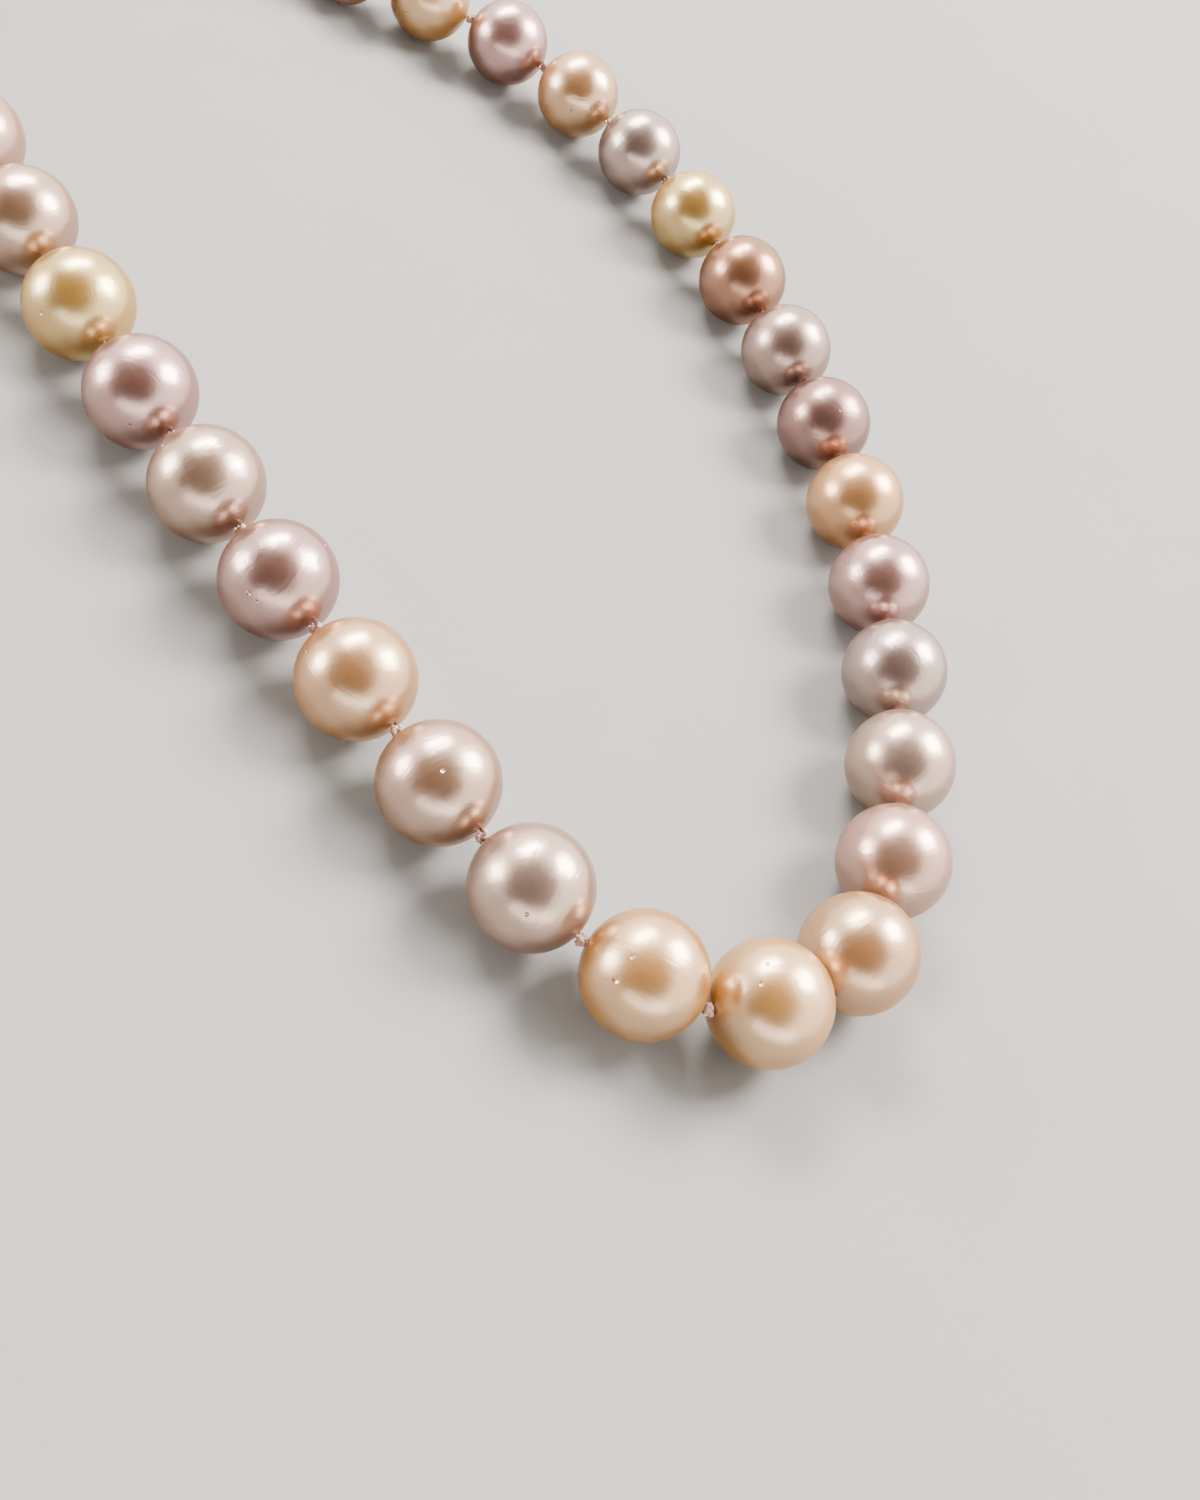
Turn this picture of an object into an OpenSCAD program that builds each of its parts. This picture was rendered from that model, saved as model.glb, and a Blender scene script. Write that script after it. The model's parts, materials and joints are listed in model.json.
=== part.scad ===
// A knotted strand of graduated pearls, laid out flat with its clasp unfastened.
// Origin: the middle of the strand's outline, on the surface that it lies on. +Y runs from the front pearl
// towards the clasp, +X is the wearer's left, and +Z points up from the surface.

/* [Pearls] */
// Diameter of the front pearl, the largest
front_d = 14.5; // [13:0.1:16]
// Step down in diameter from each pearl to the next
taper = 0.12; // [0.05:0.01:0.2]
// Diameter of the hole drilled through each pearl
drill_d = 1; // [0.8:0.05:1.1]

/* [Silk] */
// Space that a knot keeps between two pearls
knot_gap = 1.3; // [1.2:0.05:1.8]
// Diameter of a silk knot
knot_d = 1.5; // [1.3:0.05:1.6]
// Diameter of the doubled silk inside the pearls
silk_d = 0.6; // [0.4:0.05:0.7]

/* [Layout] */
// Angle of the front pearl's hole from the X axis
front_turn = -10; // [-20:1:0]
// Extra bend at the first knot right of the front pearl
right_front_bend = 33; // [20:1:34]
// Knots over which that extra bend fades
right_fade = 1.1; // [0.8:0.05:1.6]
// Bend at each knot along the right flank
right_flank_bend = 6; // [4:0.5:8]
// Extra bend at the first knot left of the front pearl
left_front_bend = 36; // [24:1:38]
// Knots over which that extra bend fades
left_fade = 1.35; // [0.9:0.05:1.5]
// Bend at each knot along the left flank
left_flank_bend = 1; // [0:0.5:4]
// Bend at each knot behind the neck
back_bend = 12; // [8:0.5:13]

/* [Loops and rings] */
// Outer diameter of the French wire on the end loops
wire_d = 0.84; // [0.7:0.02:0.9]
// Steepness of the left loop, from the last pearl down to the end ring
left_slope = 34; // [32:1:36]
// Diameter of the jump ring, to the middle of its wire
jump_d = 4; // [3.9:0.05:4.1]
// Wire diameter of the jump ring
jump_wire = 0.8; // [0.7:0.05:0.85]
// Diameter of the end ring, to the middle of its wire
end_d = 5.2; // [5:0.1:5.6]
// Wire diameter of the end ring
end_wire = 0.9; // [0.8:0.05:0.9]

/* [Clasp] */
// Thickness of the clasp's body
clasp_t = 3.4; // [3.2:0.1:3.6]
// Radius of the clasp's nose
nose_r = 3.8; // [3.6:0.1:4]
// Thickness of the clasp's eye
eye_t = 1.2; // [1:0.05:1.25]
// Width of the slot that the lever turns in
slot_w = 1.5; // [1.4:0.05:1.7]
// Thickness of the lever
lever_t = 1.3; // [1:0.05:1.35]
// Diameter of the rivet that the lever turns on
rivet_d = 1; // [0.8:0.05:1.1]

/* [Hidden] */
SIDE_PEARLS = 15;
LEFT = -1;
RIGHT = 1;
BACK_KNOT_RIGHT = 12;
BACK_KNOT_LEFT = 11;
ENDS = ["right", "left"];

function two(i) = i < 10 ? str("0", i) : str(i);
function side_of(name) = name == "left" ? LEFT : RIGHT;
function pearl_node(name, i) = str("pearl_", name, "_", two(i));

// The strand's route. A knot is where the silk bends, so each pearl's hole is straight between two knots.
function dir(a) = [cos(a), sin(a)];
function pearl_d(i) = front_d - taper * i;
function reach(i) = (pearl_d(i) + knot_gap) / 2;
function fading(bend, fade, k) = bend * exp(-pow((k - 1) / fade, 2));
function right_bend(k) = k < BACK_KNOT_RIGHT
    ? fading(right_front_bend, right_fade, k) + right_flank_bend
    : back_bend;
function left_bend(k) = k < BACK_KNOT_LEFT
    ? fading(left_front_bend, left_fade, k) + left_flank_bend
    : back_bend;
function bend(side, k) = side == RIGHT ? right_bend(k) : left_bend(k);
function heading(side, i) = i == 0
    ? front_turn + (side == RIGHT ? 0 : 180)
    : heading(side, i - 1) + side * bend(side, i);
function centre(side, i) = i == 0 ? [0, 0] : knot(side, i) + reach(i) * dir(heading(side, i));
function knot(side, k) = centre(side, k - 1) + reach(k - 1) * dir(heading(side, k - 1));

// The end loops: French wire bent round most of a circle, drawn along +X from the hole's mouth, in the XY plane
LOOP_START = 0.1;
LOOP_AT = 2.6;
LOOP_R = 1.8;
LOOP_SWEEP = 290;
CORE_D = 0.4;
BORE_D = 0.5;
LINK_CLEARANCE = 0.12;
last_r = pearl_d(SIDE_PEARLS) / 2;

// Where a ring's wire passes through its loop, measured along the loop
function link(wire) = LOOP_AT + LOOP_R - (wire_d + wire) / 2 - LINK_CLEARANCE;

// The right loop slopes until the jump ring meets the surface
right_slope = asin((last_r - (jump_d + jump_wire) / 2) / (link(jump_wire) + jump_d / 2));
function slope(side) = side == RIGHT ? right_slope : left_slope;

// The rings' middles, from the last pearl's middle along its hole, and above the surface
jump_x = last_r + (link(jump_wire) + jump_d / 2) * cos(right_slope);
jump_z = last_r - (link(jump_wire) + jump_d / 2) * sin(right_slope);
end_near_z = last_r - link(end_wire) * sin(left_slope);
end_tilt = asin((end_near_z - end_wire / 2) / end_d);
end_x = last_r + link(end_wire) * cos(left_slope) + end_d / 2 * cos(end_tilt);
end_z = (end_near_z + end_wire / 2) / 2;

// The outline's middle, which the origin is moved to. The end ring reaches further back than any pearl.
all_centres = [for (side = [LEFT, RIGHT]) for (i = [0:SIDE_PEARLS]) [each centre(side, i), pearl_d(i) / 2]];
low_x = min([for (c = all_centres) c.x - c.z]);
high_x = max([for (c = all_centres) c.x + c.z]);
low_y = min([for (c = all_centres) c.y - c.z]);
end_heading = heading(LEFT, SIDE_PEARLS);
end_y = centre(LEFT, SIDE_PEARLS).y + end_x * sin(end_heading);
end_reach = end_d / 2 * sqrt(1 - pow(sin(end_tilt) * sin(end_heading), 2)) + end_wire / 2;
high_y = max([end_y + end_reach, for (c = all_centres) c.y + c.z]);
middle = [low_x + high_x, low_y + high_y] / 2;

module at(side, i) {
    place = centre(side, i) - middle;
    translate([place.x, place.y, pearl_d(i) / 2]) rotate(heading(side, i)) children();
}

module rod(d, length) {
    rotate([0, 90, 0]) cylinder(d = d, h = length, $fn = 24);
}

// Pearls
CREAM = "#e9d2a6";
PEACH = "#e2bb96";
BEIGE = "#dac0ac";
ROSE = "#d3a99d";
SILVER = "#cab9b8";
MAUVE = "#b8999f";
RIGHT_TONES = [CREAM, PEACH, ROSE, SILVER, BEIGE, MAUVE, PEACH, MAUVE, BEIGE, ROSE, CREAM, SILVER, PEACH,
    MAUVE, CREAM, ROSE];
LEFT_TONES = [CREAM, CREAM, SILVER, BEIGE, PEACH, MAUVE, BEIGE, MAUVE, CREAM, PEACH, ROSE, SILVER, CREAM,
    ROSE, PEACH, BEIGE];
function tone(side, i) = side == RIGHT ? RIGHT_TONES[i] : LEFT_TONES[i];

module pearl(side, i) {
    color(tone(side, i)) at(side, i) rotate([0, 90, 0])
        rotate_extrude($fn = 96) intersection() {
            circle(d = pearl_d(i), $fn = 96);
            translate([drill_d / 2, -front_d]) square(2 * front_d);
        }
}

// End loops. The right one lies across the strand and the left one stands along it.
module at_loop(side) {
    at(side, SIDE_PEARLS) translate([last_r, 0, 0]) rotate([0, slope(side), 0])
        rotate([side == RIGHT ? 0 : 90, 0, 0]) children();
}

module loop_bend() {
    translate([LOOP_AT, 0, 0]) rotate(-LOOP_SWEEP / 2) rotate_extrude(angle = LOOP_SWEEP, $fn = 48)
        translate([LOOP_R, 0]) children();
}

module french_wire(side) {
    color("goldenrod") at_loop(side) loop_bend() difference() {
        circle(d = wire_d, $fn = 24);
        circle(d = BORE_D, $fn = 24);
    }
}

// Silk: one straight run through each pearl, a knot on each side of it, and the core of both end loops. The
// runs stop inside the knots, and small round joins cover the loop cores' ends.
RUN_STOP = 0.35;
JOIN_D = 0.46;
MOUTH_D = 0.76;

module silk_run(side, i) {
    start = RUN_STOP - reach(i);
    end = i == SIDE_PEARLS ? last_r + LOOP_START : reach(i) - RUN_STOP;
    at(side, i) translate([start, 0, 0]) rod(silk_d, end - start);
}

module silk_knot(side, k) {
    place = knot(side, k) - middle;
    translate([place.x, place.y, (pearl_d(k - 1) + pearl_d(k)) / 4])
        rotate(heading(side, k) + 90) sphere(d = knot_d, $fn = 32);
}

// The silk inside an end loop, and its two ends that meet in the mouth of the last pearl's hole
module loop_core() {
    loop_bend() circle(d = CORE_D, $fn = 24);
    arc_end = [LOOP_AT + LOOP_R * cos(LOOP_SWEEP / 2), LOOP_R * sin(LOOP_SWEEP / 2)];
    tail = arc_end - [LOOP_START, 0];
    for (end = [-1, 1]) {
        translate([LOOP_START, 0, 0]) rotate(end * atan2(tail.y, tail.x)) rod(CORE_D, norm(tail));
        translate([arc_end.x, end * arc_end.y, 0]) sphere(d = JOIN_D, $fn = 24);
    }
    translate([LOOP_START, 0, 0]) sphere(d = MOUTH_D, $fn = 24);
}

module silk() {
    color("#d9b9a0") {
        silk_run(RIGHT, 0);
        for (side = [LEFT, RIGHT]) {
            for (i = [1:SIDE_PEARLS]) {
                silk_run(side, i);
                silk_knot(side, i);
            }
            at_loop(side) loop_core();
        }
    }
}

// Rings
module ring(d, wire) {
    rotate_extrude($fn = 64) translate([d / 2, 0]) circle(d = wire, $fn = 24);
}

module jump_ring() {
    color("gold") at(RIGHT, SIDE_PEARLS) translate([jump_x, 0, jump_z - last_r])
        rotate([90, 0, 0]) ring(jump_d, jump_wire);
}

module end_ring() {
    color("gold") at(LEFT, SIDE_PEARLS) translate([end_x, 0, end_z - last_r])
        rotate([0, end_tilt, 0]) ring(end_d, end_wire);
}

// Clasp, drawn from the middle of its eye along +X, with its thickness along Z
EYE_R = 1.9;
EYE_BORE = 1.05;
HEEL = [4.3, 0];
HEEL_R = 2.3;
NOSE = [8.2, 0];
PIVOT = [3.9, -0.9];
LEVER_KNEE = [6.5, -2.5];
LEVER_TIP = [9.45, -2];
LEVER_ROOT_R = 1;
RUNNING = 0.05;
eye_x = jump_x + sqrt(pow(jump_d / 2, 2) - pow(jump_z - clasp_t / 2, 2));

module at_clasp() {
    at(RIGHT, SIDE_PEARLS) translate([eye_x, 0, clasp_t / 2 - last_r]) children();
}

module disc(place, r) {
    translate(place) circle(r = r, $fn = 48);
}

module slab(t) {
    translate([0, 0, -t / 2]) linear_extrude(t) children();
}

module clasp_outline() {
    difference() {
        hull() {
            disc(HEEL, HEEL_R);
            disc(NOSE, nose_r);
        }
        hull() {
            disc([6.4, 0.5], 1.15);
            disc([8.8, 0.35], 2.1);
        }
        polygon([[5, -5], [5, 0.2], [8, 0.2], [10.05, -0.6], [10.3, -5]]);
    }
}

module clasp_body() {
    color("gold") at_clasp() difference() {
        union() {
            slab(clasp_t) clasp_outline();
            slab(eye_t) hull() {
                disc([0, 0], EYE_R);
                disc([3, 0], EYE_R);
            }
        }
        slab(2 * clasp_t) disc([0, 0], EYE_BORE);
        slab(slot_w) translate([2.6, -4]) square([2.5, 4.6]);
        slab(2 * clasp_t) disc(PIVOT, rivet_d / 2);
    }
}

module clasp_lever() {
    color("goldenrod") at_clasp() slab(lever_t) difference() {
        union() {
            hull() {
                disc(PIVOT, LEVER_ROOT_R);
                disc(LEVER_KNEE, 0.6);
            }
            hull() {
                disc(LEVER_KNEE, 0.6);
                disc(LEVER_TIP, 0.5);
            }
            hull() {
                disc([5.7, -2.3], 0.55);
                disc([5.5, -3.5], 0.5);
            }
        }
        disc(PIVOT, rivet_d / 2 + RUNNING);
    }
}

module clasp_rivet() {
    color("gold") at_clasp() translate([PIVOT.x, PIVOT.y, -clasp_t / 2]) cylinder(d = rivet_d, h = clasp_t, $fn = 32);
}

// A leaf bent round the lever's root, from the slot's end wall to the lever's back
SPRING_R = 1.2;
SPRING_T = 0.15;

module clasp_spring() {
    color("silver") at_clasp() translate([PIVOT.x, PIVOT.y, -lever_t / 2])
        rotate(20) rotate_extrude(angle = 150, $fn = 64) translate([SPRING_R, 0]) square([SPRING_T, lever_t]);
}

pearl(RIGHT, 0);  // pearl_front
for (name = ENDS) for (i = [1:SIDE_PEARLS])
    pearl(side_of(name), i);
silk();
french_wire(RIGHT);  // french_wire_right
french_wire(LEFT);  // french_wire_left
jump_ring();
end_ring();
clasp_body();
clasp_lever();
clasp_rivet();
clasp_spring();
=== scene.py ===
"""A knotted strand of graduated pearls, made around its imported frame."""

import json
import math

import bmesh
import bpy
import numpy as np
from mathutils import Matrix, Vector

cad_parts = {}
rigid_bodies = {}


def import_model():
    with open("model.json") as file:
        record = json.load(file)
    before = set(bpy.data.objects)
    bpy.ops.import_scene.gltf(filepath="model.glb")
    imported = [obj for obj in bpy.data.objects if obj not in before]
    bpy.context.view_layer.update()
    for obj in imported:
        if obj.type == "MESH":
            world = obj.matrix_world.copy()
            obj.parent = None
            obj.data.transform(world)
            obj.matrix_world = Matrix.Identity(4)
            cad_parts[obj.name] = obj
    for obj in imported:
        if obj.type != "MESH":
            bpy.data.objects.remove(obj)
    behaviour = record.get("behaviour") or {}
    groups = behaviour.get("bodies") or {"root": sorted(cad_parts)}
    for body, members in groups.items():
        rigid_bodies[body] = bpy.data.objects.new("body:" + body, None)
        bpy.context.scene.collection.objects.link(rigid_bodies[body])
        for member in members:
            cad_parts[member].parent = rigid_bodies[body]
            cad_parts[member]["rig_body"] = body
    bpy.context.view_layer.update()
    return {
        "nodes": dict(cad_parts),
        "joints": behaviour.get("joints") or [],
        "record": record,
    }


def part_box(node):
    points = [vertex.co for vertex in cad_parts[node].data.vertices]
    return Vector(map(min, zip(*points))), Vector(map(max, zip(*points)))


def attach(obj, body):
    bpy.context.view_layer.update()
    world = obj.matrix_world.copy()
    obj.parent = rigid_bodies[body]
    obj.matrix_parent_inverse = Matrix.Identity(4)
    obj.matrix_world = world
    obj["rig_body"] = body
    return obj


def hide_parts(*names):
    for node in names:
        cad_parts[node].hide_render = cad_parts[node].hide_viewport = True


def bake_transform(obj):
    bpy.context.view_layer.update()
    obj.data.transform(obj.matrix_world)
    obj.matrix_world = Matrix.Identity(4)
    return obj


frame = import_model()

MM = 0.001
JOINTS = {j["name"]: j for j in frame["joints"]}
SLOTS = {part["node"]: part["material_slot"] for part in frame["record"]["subparts"]}
SIDES = ("right", "left")
SIDE_PEARLS = 15
UP = Vector((0, 0, 1))
TURN = 2 * math.pi


# ---------------------------------------------------------------- camera and light

CAMERA_TARGET = Vector((-9.84, -66.70, 7.0)) * MM
CAMERA_DISTANCE = 197.0 * MM
CAMERA_AZIMUTH = math.radians(54.16)
CAMERA_ELEVATION = math.radians(48.47)
CAMERA_ROLL = math.radians(34.78)
CAMERA_LENS = 40.67

LIGHT_DISTANCE = 1.1
LIGHT_COLOUR = (1.0, 0.96, 0.91)
FLOOR_SIZE = 24.0
FLOOR_COLOUR = (0.202, 0.198, 0.193)


def direction(azimuth, elevation):
    """The unit vector that looks along an azimuth, measured from +Y towards +X, and down by an elevation."""
    flat = math.cos(elevation)
    return Vector((math.sin(azimuth) * flat, math.cos(azimuth) * flat, -math.sin(elevation)))


def make_camera():
    forward = direction(CAMERA_AZIMUTH, CAMERA_ELEVATION)
    level = forward.cross(UP).normalized()
    right = Matrix.Rotation(-CAMERA_ROLL, 3, forward) @ level
    up = right.cross(forward)
    data = bpy.data.cameras.new("camera")
    data.lens = CAMERA_LENS
    data.clip_start = 0.005
    data.clip_end = 20
    camera = bpy.data.objects.new("camera", data)
    bpy.context.scene.collection.objects.link(camera)
    turn = Matrix((right, up, -forward)).transposed().to_4x4()
    camera.matrix_world = Matrix.Translation(CAMERA_TARGET - CAMERA_DISTANCE * forward) @ turn
    bpy.context.scene.camera = camera


def softbox(name, towards, size, power):
    """A rectangular area light that stands in a direction from the strand and faces it."""
    data = bpy.data.lights.new(name, "AREA")
    data.shape = "RECTANGLE"
    data.size, data.size_y = size
    data.energy = power
    data.color = LIGHT_COLOUR
    light = bpy.data.objects.new(name, data)
    bpy.context.scene.collection.objects.link(light)
    place = Vector(towards).normalized() * LIGHT_DISTANCE
    light.location = CAMERA_TARGET + place
    light.rotation_mode = "QUATERNION"
    light.rotation_quaternion = (-place).to_track_quat("-Z", "Y")
    light.visible_camera = False


def make_lights():
    softbox("light_back", (0.02, 0.72, 0.69), (0.62, 0.26), 38)
    softbox("light_right", (0.68, 0.03, 0.73), (0.46, 0.48), 50)
    softbox("light_left", (-0.80, 0.58, 0.16), (0.42, 0.40), 20)
    softbox("light_front", (-0.50, -0.86, 0.12), (1.60, 0.50), 12)


# The studio is a pale tent, lit from one side. Its dim opening is on the side that the camera stands on.
TENT_LIT_SIDE = (0.46, 0.06, 0.88)
TENT_DARK = (2.3, 2.1, 1.95, 1)
TENT_BRIGHT = (4.6, 4.28, 3.95, 1)
TENT_OPENING = (-0.50, -0.24, 0.83)
OPENING_COLOUR = (0.06, 0.05, 0.04, 1)


class World:
    """The world's node tree, which paints the tent by direction."""

    def __init__(self):
        self.world = bpy.data.worlds.new("studio")
        self.world.use_nodes = True
        self.tree = self.world.node_tree
        self.place = self.tree.nodes.new("ShaderNodeTexCoord").outputs["Generated"]

    def ramp(self, towards, start, start_colour, end, end_colour):
        """One colour away from a direction, and another towards it."""
        facing = self.tree.nodes.new("ShaderNodeVectorMath")
        facing.operation = "DOT_PRODUCT"
        facing.inputs[1].default_value = Vector(towards).normalized()
        self.tree.links.new(self.place, facing.inputs[0])
        span = self.tree.nodes.new("ShaderNodeMapRange")
        span.interpolation_type = "SMOOTHSTEP"
        span.inputs["From Min"].default_value = start
        span.inputs["From Max"].default_value = end
        self.tree.links.new(facing.outputs["Value"], span.inputs["Value"])
        mix = self.tree.nodes.new("ShaderNodeMix")
        mix.data_type = "RGBA"
        self.tree.links.new(span.outputs["Result"], mix.inputs[0])
        for colour, key in ((start_colour, 6), (end_colour, 7)):
            if isinstance(colour, bpy.types.NodeSocket):
                self.tree.links.new(colour, mix.inputs[key])
            else:
                mix.inputs[key].default_value = colour
        return mix.outputs[2]


def make_world():
    world = World()
    tent = world.ramp(TENT_LIT_SIDE, -0.55, TENT_DARK, 0.45, TENT_BRIGHT)
    colour = world.ramp(TENT_OPENING, 0.52, tent, 0.76, OPENING_COLOUR)
    world.tree.links.new(colour, world.tree.nodes["Background"].inputs["Color"])
    bpy.context.scene.world = world.world


# ---------------------------------------------------------------- material tools

class Nodes:
    """A material's node tree, with short calls to add and join its nodes."""

    def __init__(self, name):
        self.material = bpy.data.materials.new(name)
        self.material.use_nodes = True
        self.tree = self.material.node_tree
        self.shader = self.tree.nodes["Principled BSDF"]

    def set(self, **values):
        for key, value in values.items():
            self.shader.inputs[key.replace("_", " ")].default_value = value

    def add(self, kind, inputs=None, **settings):
        node = self.tree.nodes.new("ShaderNode" + kind)
        for key, value in settings.items():
            setattr(node, key, value)
        for key, value in (inputs or {}).items():
            self.join(value, node.inputs[key])
        return node

    def join(self, value, socket):
        if isinstance(value, bpy.types.NodeSocket):
            self.tree.links.new(value, socket)
        else:
            socket.default_value = value

    def place(self, offset=(0, 0, 0), stretch=(1, 1, 1), turn=(0, 0, 0)):
        """The object's own coordinates, in metres, turned before they are stretched."""
        where = self.add("TexCoord").outputs["Object"]
        where = self.add("Mapping", {0: where, "Rotation": turn}).outputs[0]
        return self.add("Mapping", {0: where, "Location": offset, "Scale": stretch}).outputs[0]

    def noise(self, where, scale, detail=3.0, distortion=0.0, roughness=0.5):
        values = {"Vector": where, "Scale": scale, "Detail": detail, "Distortion": distortion,
                  "Roughness": roughness}
        return self.add("TexNoise", values).outputs["Fac"]

    def spread(self, value, low, high, start=0.3, end=0.7):
        """value from start to end becomes low to high."""
        values = {"Value": value, "From Min": start, "From Max": end, "To Min": low, "To Max": high}
        return self.add("MapRange", values).outputs["Result"]

    def mix(self, share, first, second):
        node = self.add("Mix", data_type="RGBA")
        for value, key in ((share, 0), (first, 6), (second, 7)):
            self.join(value, node.inputs[key])
        return node.outputs[2]

    def bump(self, height, distance, strength=1.0, under=None):
        node = self.add("Bump", {"Height": height, "Distance": distance, "Strength": strength})
        if under is not None:
            self.join(under, node.inputs["Normal"])
        return node.outputs["Normal"]

    def finish(self, sockets):
        for key, value in sockets.items():
            self.join(value, self.shader.inputs[key])
        return self.material


def rgba(hex_colour, gain=1.0):
    """A colour written as on the screen, as linear light."""
    parts = [int(hex_colour[i:i + 2], 16) / 255 for i in (1, 3, 5)]
    return (*[gain * (c / 12.92 if c < 0.04045 else ((c + 0.055) / 1.055) ** 2.4) for c in parts], 1)


# ---------------------------------------------------------------- materials

# Each tone is a pearl's body colour, the tint of its lustre, and how dimpled it is. The plum, taupe and copper
# tones, worn by right pearls 7 to 9, are dark partly in their own colour and partly as painted shade on that
# stretch of the strand.
TONES = {
    "cream": ("#7c531f", "#ffe1ba", 0.25),
    "yellow_cream": ("#6e4b11", "#ffe8ac", 0.30),
    "champagne": ("#855b26", "#ffe1bc", 0.25),
    "peach": ("#6e4824", "#ffdcb6", 0.30),
    "apricot": ("#6c4726", "#ffd09c", 0.35),
    "beige": ("#50361f", "#ffdcc8", 0.40),
    "rose_beige": ("#4a3223", "#ffe0ca", 0.35),
    "taupe_with_painted_shade": ("#3a2820", "#e8cabc", 0.40),
    "rose": ("#604634", "#f8cfc2", 0.35),
    "copper_with_painted_shade": ("#36210f", "#dca488", 0.40),
    "silver_rose": ("#513f38", "#ffdfc8", 0.45),
    "silver": ("#40302c", "#edd4c8", 0.60),
    "mauve": ("#43271c", "#f8d0ca", 0.50),
    "plum_with_painted_shade": ("#321e1a", "#cfa69c", 0.45),
}
FRONT_TONE = "champagne"
SIDE_TONES = {
    # Right pearls 7 to 9 take the darkest tones, which carry painted shade as well as their own colour.
    "right": ("peach", "rose", "silver_rose", "silver", "mauve", "apricot", "plum_with_painted_shade", "taupe_with_painted_shade", "copper_with_painted_shade",
              "yellow_cream", "silver", "peach", "mauve", "cream", "rose"),
    "left": ("cream", "silver_rose", "beige", "peach", "mauve", "rose_beige", "mauve", "yellow_cream", "beige",
             "rose", "silver", "cream", "rose", "peach", "beige"),
}


CLOUD_SCALE = 110
FLECK_SCALE = 900
WAVE_SCALE, WAVE_HEIGHT, WAVE_STRETCH = 260, 0.07 * MM, (3.2, 0.8, 0.8)
DIMPLE_SCALE, DIMPLE_HEIGHT = 800, 0.06 * MM
GRAIN_SCALE, GRAIN_HEIGHT = 5200, 0.004 * MM
PIT_DEPTH = 0.12 * MM


def nacre(name, tone, seed, marks):
    """Layered nacre: a mottled body colour under a soft tinted mirror, with fine growth marks and small pits, whose
    colour is darkened as painted shade.
    """
    body, lustre, dimpled = TONES[tone]
    m = Nodes(name)
    where = m.place(offset=(seed * 0.37, seed * 0.61, seed * 0.23))
    cloud = m.spread(m.noise(where, CLOUD_SCALE, 3, 0.6), 0, 1)
    fleck = m.spread(m.noise(where, FLECK_SCALE, 4, 0.2), 0, 1, 0.35, 0.75)
    bands = m.place(offset=(seed, 0, 0), stretch=WAVE_STRETCH, turn=(seed * 1.3, seed * 2.1, seed * 3.7))
    colour = m.mix(m.spread(cloud, 0.0, 1.0, 0, 1), rgba(body, 0.85), rgba(body, 1.15))
    colour = m.mix(m.spread(fleck, 0.0, 0.10, 0, 1), colour, rgba(body, 0.72))
    waves = m.bump(m.noise(bands, WAVE_SCALE, 3, 1.2), WAVE_HEIGHT, 0.5)
    dimples = m.bump(m.noise(where, DIMPLE_SCALE, 2, 0.5), DIMPLE_HEIGHT, dimpled, waves)
    grain = m.bump(m.noise(where, GRAIN_SCALE, 2), GRAIN_HEIGHT, 0.5, dimples)
    pit_and_painted_shade_mask = None
    for place, size in marks:
        far = m.add("VectorMath", {0: m.place(), 1: place}, operation="DISTANCE").outputs["Value"]
        edge = m.add("MapRange", {"Value": far, "From Min": 0.2 * size, "From Max": size},
                     interpolation_type="SMOOTHSTEP").outputs["Result"]
        pit_and_painted_shade_mask = edge if pit_and_painted_shade_mask is None else m.add("Math", {0: pit_and_painted_shade_mask, 1: edge}, operation="MULTIPLY").outputs[0]
    # Painted shade: the body colour is darker inside each pit.
    colour = m.mix(m.spread(pit_and_painted_shade_mask, 0.35, 0.0, 0, 1), colour, rgba(body, 0.5))
    grain = m.bump(pit_and_painted_shade_mask, PIT_DEPTH, 1.0, grain)
    m.set(IOR=3.7, Specular_Tint=rgba(lustre), Coat_Weight=0.30, Coat_Roughness=0.18, Coat_IOR=1.6,
          Subsurface_Weight=0.20, Subsurface_Scale=0.003)
    return m.finish({
        "Base Color": colour,
        "Roughness": m.spread(cloud, 0.27, 0.33, 0, 1),
        "Normal": grain,
        "Coat Normal": grain,
    })


FIBRE_DEPTH = 0.03 * MM


def silk_material():
    """Soft twisted silk with a fibre grain."""
    m = Nodes("silk")
    where = m.place()
    fibre = m.noise(where, 9000, 4, 1.0)
    tone = m.spread(m.noise(where, 1400, 3), 0, 1)
    colour = m.mix(tone, rgba("#ad7d69"), rgba("#dab8a6"))
    m.set(Sheen_Weight=0.6, Sheen_Roughness=0.35, IOR=1.5, Subsurface_Weight=0.15, Subsurface_Scale=0.0004)
    return m.finish({
        "Base Color": colour,
        "Roughness": m.spread(fibre, 0.42, 0.62),
        "Normal": m.bump(fibre, FIBRE_DEPTH, 0.7),
    })


SCRATCH_DEPTH = 0.006 * MM


def gold(name, shine=0.16, worn=0.10):
    """Polished gold fill, with fine scratches and soft wear."""
    m = Nodes(name)
    where = m.place()
    scratch = m.noise(m.place(stretch=(1, 9, 1)), 2600, 5, 0.4)
    cloud = m.spread(m.noise(where, 500, 3), 0, 1)
    colour = m.mix(cloud, rgba("#e2b45c"), rgba("#f0c878"))
    m.set(Metallic=1.0)
    return m.finish({
        "Base Color": colour,
        "Roughness": m.spread(scratch, shine, shine + worn),
        "Normal": m.bump(scratch, SCRATCH_DEPTH, 0.35),
    })


def steel():
    """Drawn spring steel, with its grain along Z."""
    m = Nodes("spring_steel")
    grain = m.noise(m.place(stretch=(1, 1, 8)), 3000, 3)
    m.set(Metallic=1.0)
    colour = m.mix(m.spread(grain, 0, 1), rgba("#8f9296"), rgba("#b9bcc0"))
    return m.finish({"Base Color": colour, "Roughness": m.spread(grain, 0.25, 0.4)})


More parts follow.
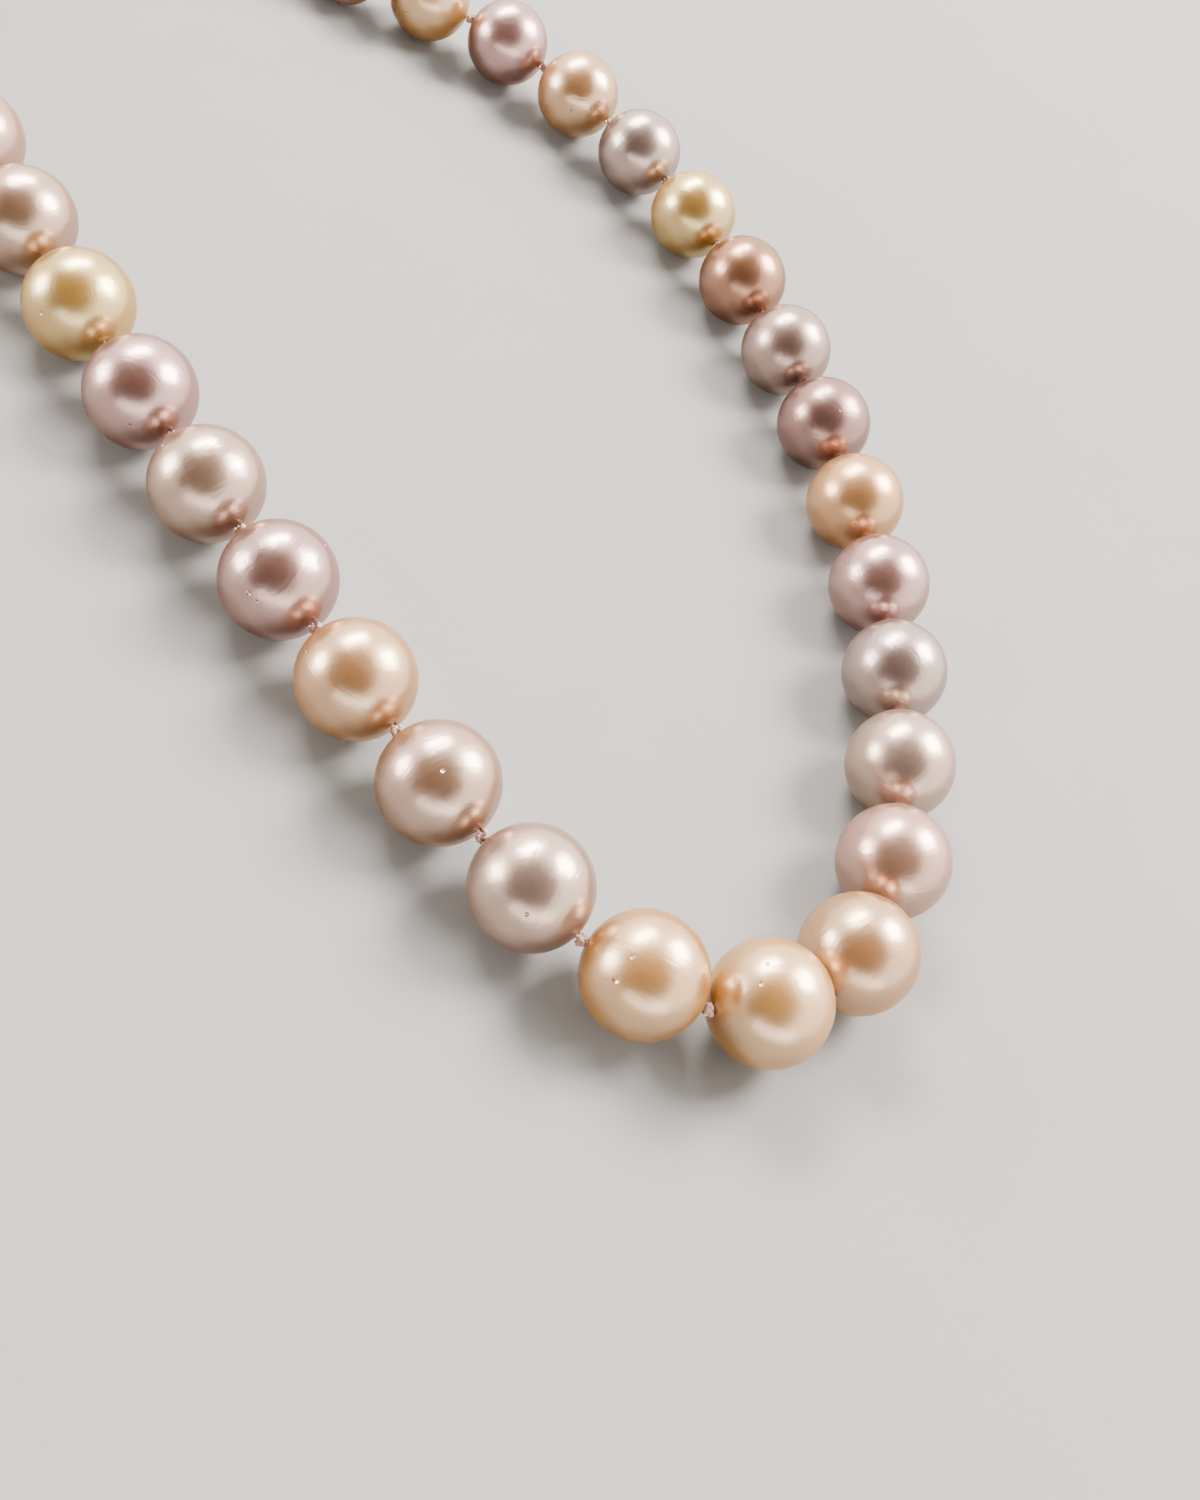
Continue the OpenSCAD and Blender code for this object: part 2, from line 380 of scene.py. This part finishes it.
def floor_material():
    """A matt pale floor, with a faint cloud in its tone."""
    m = Nodes("floor")
    where = m.place()
    cloud = m.spread(m.noise(where, 3, 2), 0, 1)
    tint = [min(1, c * 1.03) for c in FLOOR_COLOUR]
    m.set(IOR=1.3)
    return m.finish({
        "Base Color": m.mix(cloud, (*FLOOR_COLOUR, 1), (*tint, 1)),
        "Roughness": m.spread(m.noise(where, 60, 3), 0.7, 0.8),
    })


# ---------------------------------------------------------------- mesh tools

def mesh_object(name, points, faces, material, matrix=None):
    """A smooth-shaded mesh object from points and faces, in metres."""
    mesh = bpy.data.meshes.new(name)
    mesh.from_pydata([tuple(p) for p in points], [], faces)
    mesh.shade_smooth()
    mesh.materials.append(material)
    obj = bpy.data.objects.new(name, mesh)
    bpy.context.scene.collection.objects.link(obj)
    if matrix is not None:
        obj.matrix_world = matrix
    return obj


def piece(obj, body, slot, *nodes):
    """obj rides on a body and stands for the CAD nodes that are named. slot is not used."""
    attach(obj, body)
    if nodes:
        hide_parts(*nodes)
    return obj


def ring_faces(rings, sides, closed):
    """Quads between rings of points that lie one after another."""
    faces = []
    for i in range(rings if closed else rings - 1):
        a, b = i * sides, (i + 1) % rings * sides
        faces += [(a + j, a + (j + 1) % sides, b + (j + 1) % sides, b + j) for j in range(sides)]
    return faces


def frames_along(path, closed=False):
    """Tangents and turning-free normals along a path of points."""
    path = np.asarray(path, float)
    if closed:
        tangents = np.roll(path, -1, 0) - np.roll(path, 1, 0)
    else:
        tangents = np.gradient(path, axis=0)
    tangents /= np.linalg.norm(tangents, axis=1)[:, None]
    side = np.cross(tangents[0], [0.31, 0.52, 0.79])
    normals = [side / np.linalg.norm(side)]
    for t in tangents[1:]:
        n = normals[-1] - t * (normals[-1] @ t)
        normals.append(n / np.linalg.norm(n))
    normals = np.array(normals)
    if closed:
        n = normals[-1] - tangents[0] * (normals[-1] @ tangents[0])
        n /= np.linalg.norm(n)
        slip = math.atan2(np.cross(n, normals[0]) @ tangents[0], n @ normals[0])
        turn = slip * np.arange(len(path)) / len(path)
        across = np.cross(tangents, normals)
        normals = normals * np.cos(turn)[:, None] + across * np.sin(turn)[:, None]
    return tangents, normals, np.cross(tangents, normals)


class Shape:
    """Points and faces that are gathered from several closed tubes."""

    def __init__(self):
        self.points, self.faces = [], []

    def add(self, points, faces):
        start = len(self.points)
        self.points += [tuple(p) for p in points]
        self.faces += [tuple(start + i for i in face) for face in faces]

    def tube(self, path, radius, sides=8, closed=False):
        """A round tube along a path. radius is a number, or one for each point."""
        path = np.asarray(path, float)
        _, normals, across = frames_along(path, closed)
        angles = TURN * np.arange(sides) / sides
        ring = np.cos(angles)[None, :, None] * normals[:, None] + np.sin(angles)[None, :, None] * across[:, None]
        radius = np.broadcast_to(np.asarray(radius, float), len(path))
        points = (path[:, None] + radius[:, None, None] * ring).reshape(-1, 3)
        faces = ring_faces(len(path), sides, closed)
        if not closed:
            last = (len(path) - 1) * sides
            faces += [tuple(range(sides))[::-1], tuple(range(last, last + sides))]
        self.add(points, faces)

    def plies(self, path, count, offset, radius, pitch, sides=8, closed=False):
        """Plies twisted round each other along a path."""
        path = np.asarray(path, float)
        _, normals, across = frames_along(path, closed)
        steps = np.linalg.norm(np.diff(path, axis=0), axis=1)
        run = np.concatenate([[0], np.cumsum(steps)])
        turn = TURN * run / pitch
        if closed:
            whole = run[-1] + np.linalg.norm(path[0] - path[-1])
            turn = TURN * max(1, round(whole / pitch)) * run / whole
        for ply in range(count):
            a = turn + TURN * ply / count
            line = path + offset * (np.cos(a)[:, None] * normals + np.sin(a)[:, None] * across)
            self.tube(line, radius, sides, closed)

    def object(self, name, material):
        return mesh_object(name, self.points, self.faces, material)


def basis(x, z):
    """A rotation whose X axis is x, and whose Z axis is as near to z as it can be."""
    x = Vector(x).normalized()
    y = Vector(z).cross(x).normalized()
    return Matrix((x, y, x.cross(y))).transposed().to_4x4()


def extent(node, axis):
    """How wide a CAD node is along an axis."""
    along = [v.co.dot(axis) for v in frame["nodes"][node].data.vertices]
    return max(along) - min(along)


# ---------------------------------------------------------------- the strand's route

def body_name(side, i):
    return "front" if i == 0 else f"{side}_{i:02d}"


def pearl_name(side, i):
    return "pearl_front" if i == 0 else f"pearl_{side}_{i:02d}"


def knot_at(side, k):
    """The middle of knot k, which lies between pearls k - 1 and k. Odd knots swing, and even ones lift."""
    kind = "swing" if k % 2 else "lift"
    return Vector(JOINTS[f"knot_{side}_{k:02d}_{kind}"]["pos_m"])


def centre_of(node):
    low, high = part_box(node)
    return (low + high) / 2


def hole_axis(side, i):
    """The way that a pearl's hole runs, away from the front."""
    if i == 0:
        axis = knot_at("right", 1) - knot_at("left", 1)
    else:
        axis = centre_of(pearl_name(side, i)) - knot_at(side, i)
    axis.z = 0
    return axis.normalized()


# ---------------------------------------------------------------- pearls

AROUND = 96
RINGS = 72
HOLE_R = 0.5 * MM
HOLE_CHAMFER = 0.10 * MM

# The small marks that the front pearls show: which way each one faces, and its radius in millimetres.
MARKS = {
    "front": (((-0.58, 0.09, 0.81), 0.30), ((-0.36, 0.33, 0.87), 0.26)),
    "left_01": (((-0.84, -0.12, 0.54), 0.50), ((-0.59, 0.05, 0.81), 0.28)),
    "left_03": (((-0.36, -0.27, 0.89), 0.30),),
    "left_05": (((-0.78, -0.47, 0.40), 0.34), ((-0.70, -0.62, 0.36), 0.22)),
}


def ripple(unit, rng, count, wave, size):
    """A smooth random field on the unit sphere."""
    field = np.zeros(len(unit))
    for _ in range(count):
        way = rng.normal(size=3)
        way *= wave * rng.uniform(0.7, 1.3) / np.linalg.norm(way)
        field += np.cos(unit @ way + rng.uniform(0, TURN))
    return size * field / math.sqrt(count)


def pearl_points(radius, rng):
    """A drilled pearl round the X axis: a little out of round, with growth ripples."""
    mouth = math.asin((HOLE_R + HOLE_CHAMFER) / radius)
    turn = np.linspace(mouth, math.pi - mouth, RINGS)
    around = TURN * np.arange(AROUND) / AROUND
    unit = np.stack([
        np.repeat(np.cos(turn), AROUND),
        np.outer(np.sin(turn), np.cos(around)).ravel(),
        np.outer(np.sin(turn), np.sin(around)).ravel(),
    ], 1)
    field = ripple(unit, rng, 5, 2.4, 0.0032) + ripple(unit, rng, 8, 9, 0.0005)
    ring_axis = rng.normal(size=3)
    ring_axis /= np.linalg.norm(ring_axis)
    field += 0.0002 * np.sin(34 * (unit @ ring_axis)) * np.clip(ripple(unit, rng, 3, 3, 1), 0, 1)
    fade = np.clip(np.minimum(np.repeat(turn, AROUND), math.pi - np.repeat(turn, AROUND)) / 0.35, 0, 1)
    field = (field - field.max()) * fade ** 2
    outside = radius * unit * (1 + field[:, None])
    end = radius * math.cos(math.asin(HOLE_R / radius)) - HOLE_CHAMFER * 0.6
    wall = []
    for x in (-end, -end * 0.4, end * 0.4, end):
        wall += [(x, HOLE_R * math.cos(a), HOLE_R * math.sin(a)) for a in around]
    return np.vstack([outside, wall])


def make_pearl(side, i, tone, seed):
    """One drilled pearl, rolled at random about its hole, with its marks."""
    node = pearl_name(side, i)
    low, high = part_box(node)
    radius = (high.z - low.z) / 2
    rng = np.random.default_rng(seed)
    turn = basis(hole_axis(side, i), UP) @ Matrix.Rotation(rng.uniform(0, TURN), 4, "X")
    points = pearl_points(radius, rng) @ np.array(turn.to_3x3()).T
    faces = ring_faces(RINGS + 4, AROUND, closed=True)
    marks = [(radius * Vector(way).normalized(), size * MM) for way, size in MARKS.get(node[6:], ())]
    for _ in range(int(rng.integers(1, 4))):
        way = Vector(rng.normal(size=3)).normalized()
        marks.append((radius * way, rng.uniform(0.12, 0.30) * MM))
    material = nacre(f"nacre_{node[6:]}", tone, seed, marks)
    place = Matrix.Translation(centre_of(node))
    obj = mesh_object(f"nacre_{node[6:]}", points, faces, material, place)
    return piece(obj, body_name(side, i), SLOTS[node], node)


# ---------------------------------------------------------------- silk

PLY_R = 0.155 * MM
PLY_OFFSET = 0.13 * MM
PLY_PITCH = 1.5 * MM
KNOT_PLY_R = 0.185 * MM
KNOT_PLY_OFFSET = 0.15 * MM
KNOT_SCALE = 0.20 * MM
KNOT_LENGTH = 1.3
KNOT_POINTS = 96
KNOT_PITCH = 0.8 * MM
FIBRES = 14
FIBRE_R = 0.011 * MM
SILK_TAIL = 0.2 * MM


def add_knot(shape, place, axis, rng):
    """An overhand knot in the doubled silk, pulled tight, with a few stray fibres."""
    t = TURN * np.arange(KNOT_POINTS) / KNOT_POINTS
    loop = np.stack([-KNOT_LENGTH * np.sin(3 * t), np.sin(t) + 2 * np.sin(2 * t), np.cos(t) - 2 * np.cos(2 * t)], 1)
    loop *= 1 + 0.10 * np.cos(t + rng.uniform(0, TURN))[:, None]
    turn = np.array(basis(axis, UP).to_3x3() @ Matrix.Rotation(rng.uniform(0, TURN), 3, "X"))
    at = np.array(place)
    shape.plies(at + KNOT_SCALE * loop @ turn.T, 2, KNOT_PLY_OFFSET, KNOT_PLY_R, KNOT_PITCH, closed=True)
    for _ in range(FIBRES):
        start = rng.normal(size=3)
        start /= np.linalg.norm(start)
        start[0] *= 0.5
        bend = rng.normal(size=3) * 0.35
        s = np.linspace(0, 1, 7)[:, None]
        reach = rng.uniform(0.35, 0.75)
        line = start * (0.55 + reach * s) + bend * s ** 2 * reach
        shape.tube(at + MM * line @ turn.T, FIBRE_R * np.linspace(1, 0.5, 7), sides=4)


def make_silk(side, i, material, seed):
    """The silk through one pearl, and its outer knot, which lies between that pearl and the next one."""
    last = i == SIDE_PEARLS
    start = knot_at(side, i) if i else centre_of(pearl_name(side, i))
    end = Vector(JOINTS[f"loop_{side}_lift"]["pos_m"]) if last else knot_at(side, i + 1)
    axis = (end - start).normalized()
    if last:
        end += SILK_TAIL * axis
    steps = np.linspace(0, 1, 60)[:, None]
    shape = Shape()
    shape.plies(np.array(start) * (1 - steps) + np.array(end) * steps, 2, PLY_OFFSET, PLY_R, PLY_PITCH)
    if not last:
        add_knot(shape, end, axis, np.random.default_rng(seed))
    name = pearl_name(side, i)[6:] if i else f"front_{side}"
    obj = shape.object(f"silk_{name}", material)
    if last:
        return piece(obj, body_name(side, i), "silk", "silk")
    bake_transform(obj)
    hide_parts("silk")
    return obj


# ---------------------------------------------------------------- end loops and rings

GIMP_R = 0.30 * MM
GIMP_WIRE_R = 0.075 * MM
GIMP_PITCH = 0.165 * MM
GIMP_STEPS = 14
LEG_SPREAD = 0.27 * MM
LOOP_R = 1.35 * MM
LOOP_START = 0.25 * MM
SAW_CUT = 0.05 * MM
RING_POINTS = 96


def loop_path(side):
    """The teardrop that an end loop takes: out of the hole, round the ring, and back in."""
    mouth = Vector(JOINTS[f"loop_{side}_lift"]["pos_m"])
    ring_joint = JOINTS["jump_ring_swing" if side == "right" else "end_ring_swing"]
    far = Vector(ring_joint["pos_m"])
    along = (far - mouth).normalized()
    level = along.cross(UP).normalized()
    across = level if side == "right" else level.cross(along)
    centre = (far - mouth).length - LOOP_R
    lean = math.acos((LOOP_R - LEG_SPREAD) / centre * 0.9)
    points = []
    for s in np.linspace(0, 1, 24, endpoint=False):
        ease = s * s * (3 - 2 * s)
        x = -LOOP_START + s * (centre + LOOP_R * math.cos(lean) + LOOP_START)
        points.append((x, LEG_SPREAD + ease * (LOOP_R * math.sin(lean) - LEG_SPREAD)))
    for a in np.linspace(lean, -lean, 40):
        points.append((centre + LOOP_R * math.cos(a), LOOP_R * math.sin(a)))
    points += [(x, -y) for x, y in points[23::-1]]
    return np.array([np.array(mouth) + x * np.array(along) + y * np.array(across) for x, y in points])


def even_path(path, step):
    """The same path with points at even steps."""
    run = np.concatenate([[0], np.cumsum(np.linalg.norm(np.diff(path, axis=0), axis=1))])
    at = np.linspace(0, run[-1], max(2, int(run[-1] / step)))
    return np.stack([np.interp(at, run, path[:, i]) for i in range(3)], 1)


def make_loop(side, material):
    """French wire: a fine gold coil over the silk."""
    path = even_path(loop_path(side), GIMP_PITCH / GIMP_STEPS)
    _, normals, across = frames_along(path)
    run = np.arange(len(path)) / GIMP_STEPS * TURN
    coil = path + GIMP_R * (np.cos(run)[:, None] * normals + np.sin(run)[:, None] * across)
    shape = Shape()
    shape.tube(coil, GIMP_WIRE_R, sides=6)
    shape.tube(path[::GIMP_STEPS], GIMP_R * 0.92, sides=12)
    obj = shape.object(f"gimp_{side}", material)
    return piece(obj, f"loop_{side}", "gold_wire", f"french_wire_{side}")


def make_ring(node, joint, material, seam):
    """A round wire ring, closed at a fine sawn seam."""
    normal = Vector(JOINTS[joint]["axis"])
    wire = extent(node, normal)
    level = normal.cross(UP).normalized()
    radius = (extent(node, level) - wire) / 2
    gap = SAW_CUT / radius
    angles = np.linspace(seam + gap, seam + TURN - gap, RING_POINTS)
    centre = centre_of(node)
    other = normal.cross(level)
    path = [centre + radius * (math.cos(a) * level + math.sin(a) * other) for a in angles]
    count = np.arange(RING_POINTS)
    ends = np.minimum(count, count[::-1])
    shape = Shape()
    shape.tube(path, wire / 2 * (1 - 0.10 * np.exp(-ends / 0.6)), sides=24)
    return piece(shape.object(f"{node}_wire", material), frame["nodes"][node]["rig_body"], "gold", node)


# ---------------------------------------------------------------- clasp

SPRING_EDGE = 0.02 * MM
CLAW_VOXEL, CLAW_SMOOTHING = 0.09 * MM, 7
LEVER_VOXEL, LEVER_SMOOTHING = 0.06 * MM, 4
RIVET_HEAD = ((0.0, 0.22), (0.35, 0.20), (0.75, 0.13), (1.05, 0.03), (1.12, -0.05))
RIVET_SIDES = 32


def copy_of(node, name, material):
    """A new object with a CAD node's shape, its corners welded."""
    mesh = bpy.data.meshes.new(name)
    bm = bmesh.new()
    bm.from_mesh(frame["nodes"][node].data)
    bmesh.ops.remove_doubles(bm, verts=bm.verts, dist=1e-7)
    bm.to_mesh(mesh)
    bm.free()
    mesh.materials.append(material)
    obj = bpy.data.objects.new(name, mesh)
    bpy.context.scene.collection.objects.link(obj)
    return obj


def freeze(obj):
    """The modifiers become the mesh."""
    bpy.context.view_layer.update()
    final = bpy.data.meshes.new_from_object(obj.evaluated_get(bpy.context.evaluated_depsgraph_get()))
    obj.modifiers.clear()
    obj.data = final
    final.shade_smooth()


def rounded_copy(node, name, voxel, passes, material):
    """A new piece that follows a CAD node, with its edges cast soft."""
    obj = copy_of(node, name, material)
    remesh = obj.modifiers.new("remesh", "REMESH")
    remesh.mode = "VOXEL"
    remesh.voxel_size = voxel
    smooth = obj.modifiers.new("smooth", "CORRECTIVE_SMOOTH")
    smooth.iterations = passes
    smooth.use_only_smooth = True
    smooth.smooth_type = "SIMPLE"
    freeze(obj)
    return piece(obj, frame["nodes"][node]["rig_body"], "gold", node)


def make_spring(material):
    """The leaf spring in the clasp's slot, with its edges bevelled."""
    obj = copy_of("clasp_spring", "leaf_spring", material)
    bevel = obj.modifiers.new("bevel", "BEVEL")
    bevel.width = SPRING_EDGE
    bevel.segments = 2
    bevel.limit_method = "ANGLE"
    bevel.angle_limit = math.radians(50)
    freeze(obj)
    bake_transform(obj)
    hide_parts("clasp_spring")


def make_rivet(material):
    """The lever's rivet, with a low domed head on the clasp's upper face and a flush one below."""
    low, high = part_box("clasp_rivet")
    centre = (low + high) / 2
    half = (high.z - low.z) / 2
    r = (high.x - low.x) / 2
    profile = [(a * r, half + h * MM) for a, h in RIVET_HEAD] + [(r, half - 0.12 * MM)]
    profile += [(a, -h) for a, h in profile[::-1]]
    points = []
    for a, h in profile:
        for j in range(RIVET_SIDES):
            turn = TURN * j / RIVET_SIDES
            spread = max(a, 0.01 * MM)
            z = max(centre.z + h, low.z)
            points.append((centre.x + spread * math.cos(turn), centre.y + spread * math.sin(turn), z))
    faces = ring_faces(len(profile), RIVET_SIDES, closed=False)
    last = (len(profile) - 1) * RIVET_SIDES
    faces += [tuple(range(RIVET_SIDES))[::-1], tuple(range(last, last + RIVET_SIDES))]
    obj = mesh_object("rivet_heads", points, faces, material)
    return piece(obj, "clasp", "gold", "clasp_rivet")


# ---------------------------------------------------------------- assembly

def make_floor():
    half = FLOOR_SIZE / 2
    corners = [(-half, -half, 0), (half, -half, 0), (half, half, 0), (-half, half, 0)]
    mesh_object("floor", corners, [(0, 1, 2, 3)], floor_material())


def make_strand():
    silk = silk_material()
    make_pearl("right", 0, FRONT_TONE, 100)
    for s, side in enumerate(SIDES):
        make_silk(side, 0, silk, 500 + s)
        for i in range(1, SIDE_PEARLS + 1):
            seed = 100 + 20 * (s + 1) + i
            make_pearl(side, i, SIDE_TONES[side][i - 1], seed)
            make_silk(side, i, silk, seed + 400)


def make_findings():
    polished = gold("gold")
    for side in SIDES:
        make_loop(side, gold(f"gimp_gold_{side}", 0.22, 0.12))
    make_ring("jump_ring", "jump_ring_swing", polished, seam=2.6)
    make_ring("end_ring", "end_ring_swing", polished, seam=0.9)
    rounded_copy("clasp_body", "claw", CLAW_VOXEL, CLAW_SMOOTHING, polished)
    rounded_copy("clasp_lever", "claw_lever", LEVER_VOXEL, LEVER_SMOOTHING, polished)
    make_rivet(polished)
    make_spring(steel())


make_camera()
make_lights()
make_world()
make_floor()
make_strand()
make_findings()
